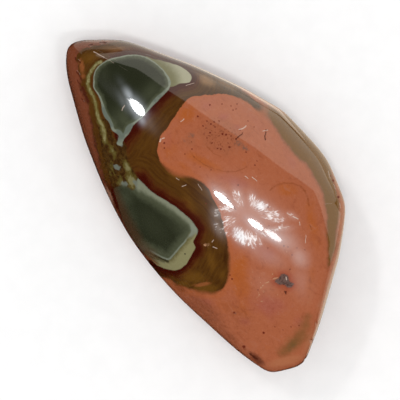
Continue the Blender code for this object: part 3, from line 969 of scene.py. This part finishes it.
def edge_bands(f, colour, ragged):
    """The olive band along the bulging edge and the short streak near the foot, both soft on the inside."""
    right = (f["right_olive"] + ragged * 1.6) / (f["soft"] * 2.5 + 1.0)
    tone = f.noise(3, 4, 0.6, at=(0, 0, 63), stretch=(1.2, 0.6, 1), bend=0.5)
    band = f.over(
        RIGHT_BAND_OLIVE,
        (sight(134, 95, 36), tone.ramp(0.1, 1.1) * 0.6),
        (sight(108, 75, 30), right.ramp(-0.9, -0.1) * 0.55),
    )
    streak = (f["low_streak"] + ragged * 2.4 + tone * 0.35).ramp(1.9, -1.5)
    return f.over(
        colour,
        (sight(140, 84, 56), right.ramp(1.0, 0.0) * 0.5),
        (band, right.ramp(0.45, -0.65) * 0.95),
        (sight(126, 88, 46), streak * (f["grey"] * 0.3 + 0.62)),
    )


def olive_colour(f, clouds, isles, border):
    """Olive brown in flowing lines round the islands, dark red close to them and darker along its border."""
    across = f.noise(16, 2, at=(0, 5, 5)) * 1.2
    flow = f.node("ShaderNodeCombineXYZ", {}, {0: isles * 0.9, 1: across, 2: clouds * 0.35}).outputs[0]
    line = f.clouds(flow, 3.5, Scale=1.6, Detail=4.0)
    ochre_and_veil = f["ochre_and_veil"] + line * 0.12 + clouds * 0.1
    patchy = f.noise(4, 2, at=(0, 90, 9)) * 0.7
    red = isles + line * 0.4 + patchy + f["crescent"].ramp(3.6, 2.2) * 3.0
    return f.over(
        OLIVE_BROWN,
        (OLIVE, (line + clouds * 0.5).ramp(-0.9, 0.7)),
        # Partly painted reflection: ochre olive where a pale veil is mirrored on the lower left
        (OCHRE_AND_VEIL, ochre_and_veil.ramp(0.2, 1.1) * 0.8),
        (UMBER, (f["umber"] + line * 0.12).ramp(0.15, 1.0) * 0.65),
        (TAN, (f["tan"] + line * 0.08).ramp(0.1, 1.0) * 0.85),
        (sight(66, 40, 14), border * 0.4),
        (sight(156, 90, 48), (f["rusty"] + line * 0.15).ramp(0.3, 0.8) * 0.85),
        (RED_BROWN, red.ramp(4.2, 1.2) * 0.6),
        (MAROON, red.ramp(2.9, 0.5)),
    )


def mottled_colour(f, colour, ragged):
    """Between the islands, brown with soft cream-green veins and a few grey-green spots, and the cream line
    that curves from there round the upper island."""
    blotches = f.noise(1.3, 5, 0.62, at=(0, 0, 90), stretch=(0.8, 1.1, 1), bend=0.7)
    crumbs = f.noise(0.8, 4, 0.65, at=(8, 0, 90), stretch=(1, 0.8, 1), bend=0.5)
    ground = f.over(sight(62, 36, 10), (sight(88, 60, 22), blotches.ramp(-0.6, 0.6)))
    vein = f["vein"] + blotches * 0.2 + crumbs * 0.2
    crescent = f["crescent"] + ragged * 1.2
    cream = f.over(sight(126, 116, 66), (sight(160, 152, 108), blotches.ramp(-0.5, 0.8)))
    spots = f["grey_green"] + blotches * 0.14 + crumbs * 0.22
    return f.over(
        colour,
        (ground, (f["mottled"] + ragged * 2.0).ramp(0.3, -0.6)),
        (sight(102, 88, 38), vein.ramp(0.3, 0.6) * 0.85),
        (sight(142, 134, 92), vein.ramp(0.6, 1.05) * 0.85),
        (sight(104, 88, 40), crescent.ramp(0.95, 0.5) * 0.7),
        (cream, crescent.ramp(0.55, 0.2) * 0.9),
        (sight(120, 126, 114), spots.ramp(0.42, 0.75) * 0.9),
    )


def lower_island(f, edge, mist, pale_green):
    """The lower green island with its pale rim and the cream layers beside it, and how far outside its rim
    a place is."""
    lower = (f["lower_pale"] + edge + mist * 0.1) / (f["soft"] * 4.0 + 1.0)
    inner = f["lower_green"] + edge
    lines = f.noise(0.5, 2, at=(0, 0, 77), stretch=(1, 0.15, 1))
    cream = f.over(sight(108, 100, 62), (sight(150, 144, 102), (inner + lines * 0.3).ramp(0.1, 1.9)))
    corner = f["pale_corner"]
    facing = lower.ramp(-1.7, -2.3).most(corner).least(1.0)
    place = f.plan(0.25)
    left = f["brick_and_shaded_side"] + mist * 0.3
    island = f.over(
        GREEN_LIGHT,
        (LOW_PALE, (lower + mist * 0.1).ramp(-2.4, -0.5)),
        (PALE_GREY, (lower + mist * 0.1).ramp(-0.5, 0.1) * 0.4),
        (cream, (f["lower_cream"] + edge).ramp(0.12, -0.12)),
        (PALE, inner.size().ramp(0.4, 0.1) * facing * 0.85),
        (PALE, (corner + mist * 0.1).ramp(0.25, 0.8) * inner.ramp(-0.9, 0.2) * 0.8),
        (GREEN_LIGHT, (inner + mist * 0.06).ramp(0.35, -1.3)),
        (GREEN, (inner + mist * 0.3).ramp(-0.6, -3.4) * pale_green),
        (sight(50, 44, 24), f.near_strokes(place, WEDGE_STROKES).ramp(0.25, -0.1) * 0.85),
        (sight(150, 146, 112), f.near_strokes(place, LAYER_STROKES).ramp(0.15, -0.05) * 0.7),
        # Painted shade: the island darkens towards the left edge, the side that turns from the light
        (sight(90, 60, 38), left.ramp(4.2, 0.4) * 0.85),
    )
    return island, lower


def green_islands(f, colour, edge, mist):
    """The two green islands with their pale rims, and the cream wedge beside the upper one."""
    pale_green = 1.0 - f["pale_green"] * 0.55
    upper = f["upper_green"] + edge
    wedge = f.over(CREAM_DARK, (CREAM, (upper + mist * 0.15).ramp(0.6, 4.6)))
    island, lower = lower_island(f, edge, mist, pale_green)
    rim = upper + f["wide_rim"] * 1.3
    top = f.over(
        PALE,
        (PALE_GREY, (f["wide_rim"] + mist * 0.3).ramp(0.1, 0.7)),
        (GREEN_LIGHT, (rim + mist * 0.12).ramp(-0.15, -0.55)),
        (GREEN, (rim + mist * 0.25).ramp(-0.35, -1.9) * pale_green),
    )
    return f.over(
        colour,
        (wedge, (f["cream_wedge"] + edge).ramp(0.14, -0.14)),
        (island, lower.ramp(0.16, -0.16)),
        (top, upper.ramp(0.12, -0.12)),
    )


def inclusion_colour(f, colour, ragged):
    """The dark grey inclusion, ragged, with pale shreds painted as its glints, in a reddish halo."""
    grey = f["inclusion"] + ragged * 1.3 + f.noise(0.7, 3, 0.7, at=(0, 4, 4)) * 0.16
    shreds = f.noise(0.6, 3, 0.7, at=(0, 44, 0), stretch=(1.3, 0.7, 1))
    stone = f.over(
        INCLUSION_GREY,
        (sight(84, 58, 52), shreds.ramp(-0.1, 0.5)),
        # Painted glints: pale shreds in the inclusion
        (sight(160, 134, 124), shreds.ramp(-0.5, -1.1)),
    )
    return f.over(
        colour,
        (sight(168, 76, 48), grey.ramp(2.2, 0.3) * 0.6),
        (sight(138, 66, 46), grey.ramp(0.6, 0.0) * 0.5),
        (stone, grey.ramp(0.14, -0.14)),
    )


def brick_colour(f, brick):
    """The brick side, whose colour is partly painted shade of the side that turns from the light, dark along
    the olive zone, rubbed paler in places, and with pale patches that are partly painted light.
    """
    rough = f["rough"].ramp(0.1, 0.8) * 0.8 + 0.2
    rubbed = f.noise(2, 4, 0.6, at=(5, 5, 5))
    return f.over(
        BRICK_AND_SHADE,
        (BRICK_DARK, brick.ramp(-1.2, 0.1) * rough),
        (sight(148, 82, 60), rubbed.ramp(0.1, 1.0) * 0.4),
        (sight(176, 128, 104), f["fair_and_lit_edges"].ramp(0.1, 1.0) * 0.8),
    )


def star_scuffs_and_flares(f):
    """White hairline streaks that point to and from the middle of the star: scuffs in the polish, painted
    white as highlight flares round the lamps' glints.
    """
    middle = on_stone([STAR_MIDDLE])[0] * MM
    apart = f.vector("SUBTRACT", f.plan(0.6), (*middle, 0.0))
    rise = f.node("ShaderNodeCombineXYZ", {}, {2: f.measure("LENGTH", apart) * 0.05}).outputs[0]
    spokes = f.vector("ADD", f.vector("NORMALIZE", apart), rise)
    streak = f.clouds(spokes, Scale=13.0, Detail=4.0, Roughness=0.6)
    cloud = f.noise(2, 3, 0.6, at=(0, 0, 15))
    patch = f["scuff_and_flare"]
    cover = patch * 1.05 + (streak * 0.75 + cloud * 0.1 - 0.1) * patch.ramp(0.02, 0.5)
    return cover.ramp(0.2, 1.2).most(patch * 0.25)


def jasper_finish():
    """Orange body, olive zone with dark red edges, and green islands with pale rims, all under one polish
    with pits, scuffs and scratches in it, and painted highlights: halos, glare and flare streaks round the
    lamps' glints."""
    f = Finish("polished_jasper")
    ragged = f.noise(2.2, 3) * 0.20 + f.noise(0.6, 2, at=(9, 0, 0)) * 0.08
    edge = f.noise(2.4, 3, at=(0, 31, 0)) * 0.10
    mist = f.noise(1.4, 4, 0.6, at=(0, 70, 0))
    clouds = f.noise(9, 3, at=(50, 0, 0))
    colour = edge_bands(f, body_colour(f, clouds), ragged)

    margin = f["olive_zone"] + ragged
    zone = margin / (f["soft"] * 5.0 + 1.0)
    isles = f["upper_green"].least(f["cream_wedge"]).least(f["lower_pale"])
    olive = olive_colour(f, clouds, isles, margin.ramp(-1.2, -0.2) * (1.0 - f["soft"]).most(0.0))
    brick = f["brick_and_shaded_side"] + ragged * 2.5
    colour = f.over(
        colour,
        (SATURATED, zone.ramp(0.9, 0.1) * 0.35),
        (olive, zone.ramp(0.14, -0.16)),
        (brick_colour(f, brick), brick.ramp(0.25, -0.35)),
    )
    colour = green_islands(f, mottled_colour(f, colour, ragged), edge, mist)
    colour = inclusion_colour(f, colour, ragged)

    plan, fine_plan = f.plan(0.7), f.plan(0.25)
    height = f.node("ShaderNodeSeparateXYZ", {}, {0: f.millimetres}).outputs[2]
    above = Value(f, height).ramp(*MARKS_FADE)
    rings = f.near_strokes(plan, RING_STROKES).ramp(0.25, -0.1) * above
    broken = f.noise(1.6, 3, 0.6, at=(0, 17, 0)) * 0.35 + 0.45
    dots = f.near_dots(fine_plan, DARK_DOTS).ramp(0.12, -0.12) * above
    dark = f.near_strokes(plan, DARK_STROKES).ramp(0.12, -0.06) * above
    scattered = f.pits(2.6, 0.35, 0.16).most(f.pits(1.1, 0.3, 0.12, at=(7, 3, 1)) * f["nodule"])
    marks = dots.most(dark * 0.7).most(scattered * 0.8)
    dot_colour = f.over(DOT_BROWN, (sight(40, 34, 30), isles.ramp(0.3, -0.3)))
    threads = f.noise(0.5, 3, 0.7, at=(2, 0, 0), stretch=(1, 0.6, 1), bend=1)
    chafed = (f["chafed"] + threads * 0.5).ramp(0.75, 1.05) * above
    pale = f.near_strokes(fine_plan, PALE_STROKES_AND_GLINTS).ramp(0.10, -0.08) * above
    scuff_and_flare = star_scuffs_and_flares(f) * above
    colour = f.over(
        colour,
        (sight(148, 74, 34), rings * broken),
        (dot_colour, marks),
        (sight(60, 28, 14), dark * 0.6),
        (sight(204, 154, 116), chafed * 0.8),
        # Pale scratches and lines, a few of them painted glints
        (STROKE_AND_GLINT_PALE, pale * 0.75),
        # Scuffs, partly painted highlight: white flare streaks round the glints
        (SCUFF_AND_GLARE_WHITE, scuff_and_flare),
        # Painted highlight: pale haze of lamp light round the glints
        (SCUFF_AND_GLARE_WHITE, f["haze_and_glare"] * above * 0.18),
        # Painted highlight: bluish-white halos round the glints
        (GLINT_HALO_WHITE, f["glint_halo"] * above * 0.6),
    )
    relief = f.node("ShaderNodeBump", {}, {"Distance": 0.001, "Height": marks * -0.06 - pale * 0.03})
    f.feed_shader(
        Base_Color=colour,
        Roughness=mist * 0.02 + 0.27 + scuff_and_flare * 0.2,
        Specular_IOR_Level=0.08,
        Coat_Weight=1.0 - marks.most(pale * 0.7).most(scuff_and_flare * 0.6),
        Coat_Roughness=0.04,
        Coat_IOR=1.54,
        Normal=relief.outputs[0],
    )
    return f.material


def floor_finish():
    """Matt pale paper with a faint grain."""
    f = Finish("pale_floor")
    grain = f.noise(6, 3)
    paper = f.over((0.86, 0.86, 0.86), ((0.84, 0.84, 0.84), grain.ramp(-1.0, 1.0)))
    f.feed_shader(Base_Color=paper, Roughness=0.9)
    return f.material


def add(name, data):
    """A new object in the scene."""
    item = bpy.data.objects.new(name, data)
    bpy.context.scene.collection.objects.link(item)
    return item


def make_floor():
    """A wide pale floor just under the stone."""
    sides = ((-1, -1), (1, -1), (1, 1), (-1, 1))
    corners = [(FLOOR_HALF * x, FLOOR_HALF * y, -FLOOR_DROP) for x, y in sides]
    mesh = bpy.data.meshes.new("floor")
    mesh.from_pydata(corners, [], [(0, 1, 2, 3)])
    floor = add("floor", mesh)
    floor.visible_glossy = False
    mesh.materials.append(floor_finish())
    return floor


def make_camera():
    """A long lens straight above the stone, turned as the photograph is."""
    data = bpy.data.cameras.new("lens")
    data.sensor_width = SENSOR * MM
    data.lens = LENS_ABOVE_GIRDLE * SENSOR * MM / (2.0 * PHOTO_MIDDLE[0] * PIXEL)
    camera = add("lens", data)
    camera.location = (LENS_X, LENS_Y, LENS_ABOVE_GIRDLE + GIRDLE_HEIGHT)
    camera.rotation_euler = (0.0, 0.0, -math.atan2(LENGTH_WAY[1], LENGTH_WAY[0]))
    bpy.context.scene.camera = camera


def mirrored_way(pixel):
    """The crown's point under a pixel, and the way that a ray from the lens leaves it when mirrored."""
    x, y = (float(v) for v in on_stone([pixel])[0])
    point = Vector((x, y, float(crown_height(x, y)[0])))
    lens = Vector((LENS_X, LENS_Y, LENS_ABOVE_GIRDLE + GIRDLE_HEIGHT))
    return point, (point - lens).normalized().reflect(crown_normal(x, y))


def area_light(name, place, outwards, along, sizes, radiance, shape, tint=(1.0, 1.0, 1.0)):
    """An area light of a given radiance at a place, with its back turned outwards and its length along."""
    data = bpy.data.lights.new(name, "AREA")
    data.color = tint
    data.shape = shape
    data.size, data.size_y = (float(size) for size in sizes)
    share = math.pi / 4.0 if shape == "ELLIPSE" else 1.0
    data.energy = radiance * math.pi * data.size * data.size_y * share
    light = add(name, data)
    turn = Matrix((along, outwards.cross(along), outwards)).transposed()
    light.matrix_world = Matrix.Translation(place) @ turn.to_4x4()
    light.visible_camera = False
    return light


def mirrored_lamp(name, start, end, width, radiance):
    """An oval lamp placed where the crown mirrors it to an oval glint with two ends and a width in pixels."""
    middle, half = (np.array(start) + end) / 2.0, (np.array(end) - start) / 2.0
    side = np.array((-half[1], half[0])) / np.hypot(*half) * width / 2.0
    point, way = mirrored_way(middle)
    place = point + way * LAMP_AWAY
    reaches = []
    for pixel in (middle + half, middle + side):
        origin, ray = mirrored_way(pixel)
        reaches.append(origin + ray * ((place - origin).dot(way) / ray.dot(way)) - place)
    across = way.cross(reaches[0]).normalized()
    along = across.cross(way)
    turns, sizes, _ = np.linalg.svd([[reach.dot(axis) for reach in reaches] for axis in (along, across)])
    longest = along * float(turns[0, 0]) + across * float(turns[1, 0])
    return area_light(name, place, way, longest.normalized(), 2.0 * sizes, radiance, "ELLIPSE")


def make_lights():
    """Lamps whose glints fall where the photograph has them, and cards in one plane beyond the bulging side,
    which show only as reflections: a large one, a strip beside it and three sheens below them, which the rim
    mirrors. All in an even surround."""
    for name, lamp in LAMPS.items():
        mirrored_lamp("lamp_" + name, *lamp)
    back = Vector((0.0, 1.0, 0.0))
    for name, (place, tilt, sizes, radiance, shape, tint) in CARDS.items():
        along = Vector((math.cos(tilt), 0.0, math.sin(tilt)))
        area_light(name, Vector(place), back, along, sizes, radiance, shape, tint).visible_diffuse = False
    world = bpy.data.worlds.new("surround")
    world.use_nodes = True
    background = world.node_tree.nodes["Background"].inputs
    background["Color"].default_value = (1.0, 1.0, 1.0, 1.0)
    background["Strength"].default_value = SURROUND
    world.cycles_visibility.glossy = False
    bpy.context.scene.world = world


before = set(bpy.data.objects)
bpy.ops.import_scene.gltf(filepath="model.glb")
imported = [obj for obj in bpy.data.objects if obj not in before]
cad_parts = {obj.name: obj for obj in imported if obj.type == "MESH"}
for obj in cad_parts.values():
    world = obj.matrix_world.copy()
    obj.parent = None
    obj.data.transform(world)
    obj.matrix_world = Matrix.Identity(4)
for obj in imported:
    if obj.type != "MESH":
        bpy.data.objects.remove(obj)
solid_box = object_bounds()
bpy.context.scene.view_settings.view_transform = "Standard"

stone = make_stone()
stone.data.materials.append(jasper_finish())
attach(stone, "root")
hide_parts("jasper")

make_floor()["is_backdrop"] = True
make_camera()
make_lights()

boxes = [[list(corner) for corner in box] for box in (solid_box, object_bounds())]
{"solid": boxes[0], "visual": boxes[1]}
